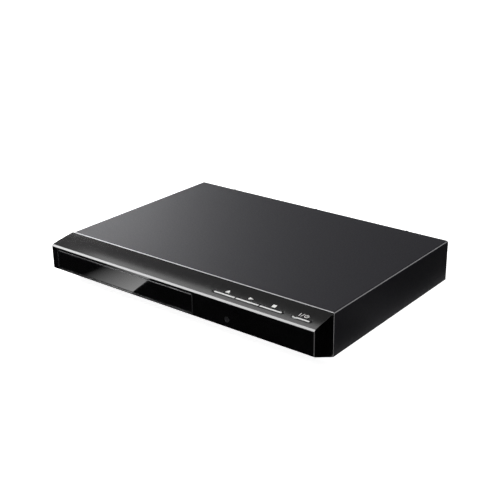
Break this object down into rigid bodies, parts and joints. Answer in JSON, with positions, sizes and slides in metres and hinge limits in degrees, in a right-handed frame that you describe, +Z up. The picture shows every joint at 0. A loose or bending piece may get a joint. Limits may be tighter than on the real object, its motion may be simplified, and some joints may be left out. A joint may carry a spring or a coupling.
{
  "type": "disc player with tray",
  "caption": "Slim desktop disc player: folded steel cover, sloping gloss front with a powered disc tray and silver keys, full loading mechanism and boards inside.",
  "frame": {"origin": "bottom centre of the whole box, on the plane that the feet stand on", "axes": "+X to the right seen from the front, -Y out of the front, +Z up"},
  "size_m": [0.27, 0.207, 0.0385],
  "materials": {
    "cover_paint": "fine textured satin",
    "zinc_steel": "zinc plated",
    "black_steel": "satin",
    "gloss_black": "polished",
    "black_rubber": "matt",
    "black_screw": "black oxide",
    "screw_steel": "plated",
    "grey_plastic": "fine grain",
    "loader_plastic": "fine grain",
    "motor_can": "drawn steel",
    "white_plastic": "acetal",
    "dark_plastic": "fine grain",
    "rail_steel": "ground",
    "cast_metal": "die cast",
    "lens_glass": "coated",
    "magnet": "ferrite",
    "green_board": "solder resist",
    "chip_black": "moulded",
    "can_sleeve": "shrink sleeve",
    "cream_plastic": "moulded",
    "nickel": "nickel plated",
    "jack_colour": "coloured by socket",
    "brown_board": "phenolic board",
    "ferrite": "ferrite and tape",
    "aluminium": "sheet",
    "glass_tube": "glass tube",
    "clear_sheet": "film",
    "ribbon": "flat cable",
    "ir_red": "dark filter",
    "lamp": "clear",
    "key_silver": "silver"
  },
  "bodies": {
    "cabinet": {"top_cover": "cover_paint", "base_chassis": "zinc_steel", "rear_panel": "black_steel", "front_panel": "gloss_black", "feet": "black_rubber", "cover_screws": "black_screw", "rear_screws": "screw_steel", "loader_frame": "loader_plastic", "loader_screws": "screw_steel", "loading_motor": "motor_can", "drive_belt": "black_rubber", "clamp_bridge": "zinc_steel", "main_board": "green_board", "board_chips": "chip_black", "board_capacitors": "can_sleeve", "connectors": "cream_plastic", "board_screws": "screw_steel", "jack_blocks": "dark_plastic", "jack_shells": "nickel", "jack_inserts": "jack_colour", "power_board": "brown_board", "transformer": "ferrite", "power_capacitors": "can_sleeve", "line_filter": "ferrite", "heat_sink": "aluminium", "fuse": "glass_tube", "mains_inlet": "dark_plastic", "inlet_pins": "nickel", "insulation_sheet": "clear_sheet", "ribbon_cables": "ribbon", "front_board": "brown_board", "key_switches": "chip_black", "infrared_receiver": "chip_black", "infrared_window": "ir_red", "lamp_lens": "lamp"},
    "tray": {"disc_tray": "grey_plastic", "tray_door": "gloss_black"},
    "tray_gear": {"tray_gear": "white_plastic"},
    "pulley_gear": {"pulley_gear": "white_plastic"},
    "motor_pulley": {"motor_pulley": "white_plastic"},
    "lift": {"lift_frame": "dark_plastic", "traverse_chassis": "zinc_steel", "dampers": "black_rubber", "damper_screws": "screw_steel", "spindle_motor": "motor_can", "guide_rails": "rail_steel", "sled_motor": "motor_can"},
    "cam_slider": {"cam_slider": "white_plastic"},
    "turntable": {"turntable": "dark_plastic", "turntable_mat": "black_rubber"},
    "pickup": {"pickup_body": "cast_metal"},
    "lens": {"objective_lens": "lens_glass"},
    "lead_screw": {"lead_screw": "rail_steel"},
    "clamper": {"clamper": "white_plastic", "clamp_magnet": "magnet"},
    "open_key": {"open_key": "key_silver"},
    "play_key": {"play_key": "key_silver"},
    "stop_key": {"stop_key": "key_silver"},
    "power_key": {"power_key": "key_silver"}
  },
  "joints": [
    {"name": "tray_slide", "type": "slide", "parent": "cabinet", "child": "tray", "axis": [0, -1, 0], "range_m": [0, 0.138]},
    {"name": "tray_gear_turn", "type": "hinge", "parent": "cabinet", "child": "tray_gear", "pos_m": [-0.0107, -0.084, 0.0213], "axis": [0, 0, 1], "range_deg": [-529.12, 2]},
    {"name": "pulley_gear_turn", "type": "hinge", "parent": "cabinet", "child": "pulley_gear", "pos_m": [-0.03116, -0.08872, 0.0193], "axis": [0, 0, 1], "range_deg": [-2, 1319.8]},
    {"name": "motor_pulley_turn", "type": "hinge", "parent": "cabinet", "child": "motor_pulley", "pos_m": [-0.1072, -0.066, 0.0183], "axis": [0, 0, 1], "range_deg": [-5, 4161.15]},
    {"name": "lift_swing", "type": "hinge", "parent": "cabinet", "child": "lift", "pos_m": [-0.0527, 0.064, 0.0174], "axis": [-1, 0, 0], "range_deg": [0, 3.3]},
    {"name": "cam_slide", "type": "slide", "parent": "cabinet", "child": "cam_slider", "axis": [1, 0, 0], "range_m": [-0.0001, 0.0139]},
    {"name": "turntable_spin", "type": "hinge", "parent": "lift", "child": "turntable", "pos_m": [-0.0527, -0.03324, 0.0187], "axis": [0, -0.0576, 0.9983], "continuous": true},
    {"name": "pickup_slide", "type": "slide", "parent": "lift", "child": "pickup", "axis": [0, 0.9983, 0.0576], "range_m": [0, 0.035]},
    {"name": "lead_screw_turn", "type": "hinge", "parent": "lift", "child": "lead_screw", "pos_m": [-0.0167, -0.00328, 0.01162], "axis": [0, 0.9983, 0.0576], "range_deg": [-5, 4205]},
    {"name": "lens_focus", "type": "slide", "parent": "pickup", "child": "lens", "axis": [0, -0.0576, 0.9983], "range_m": [-0.0004, 0.0004], "stiffness_N_per_m": 150},
    {"name": "clamper_spin", "type": "hinge", "parent": "cabinet", "child": "clamper", "pos_m": [-0.0527, -0.033, 0.0303], "axis": [0, 0, 1], "continuous": true},
    {"name": "open_key_press", "type": "slide", "parent": "cabinet", "child": "open_key", "axis": [0, 0.1585, -0.9874], "range_m": [0, 0.0005], "stiffness_N_per_m": 900},
    {"name": "play_key_press", "type": "slide", "parent": "cabinet", "child": "play_key", "axis": [0, 0.1585, -0.9874], "range_m": [0, 0.0005], "stiffness_N_per_m": 900},
    {"name": "stop_key_press", "type": "slide", "parent": "cabinet", "child": "stop_key", "axis": [0, 0.1585, -0.9874], "range_m": [0, 0.0005], "stiffness_N_per_m": 900},
    {"name": "power_key_press", "type": "slide", "parent": "cabinet", "child": "power_key", "axis": [0, 0.1585, -0.9874], "range_m": [0, 0.0005], "stiffness_N_per_m": 900}
  ],
  "couplings": [
    {"joint": "tray_gear_turn", "follows": "tray_slide", "rad_per_m": -66.667},
    {"joint": "pulley_gear_turn", "follows": "tray_slide", "rad_per_m": 166.67},
    {"joint": "motor_pulley_turn", "follows": "tray_slide", "rad_per_m": 525.64},
    {"joint": "cam_slide", "follows": "lift_swing", "m_per_rad": 0.2396},
    {"joint": "lead_screw_turn", "follows": "pickup_slide", "rad_per_m": 2094.4}
  ]
}
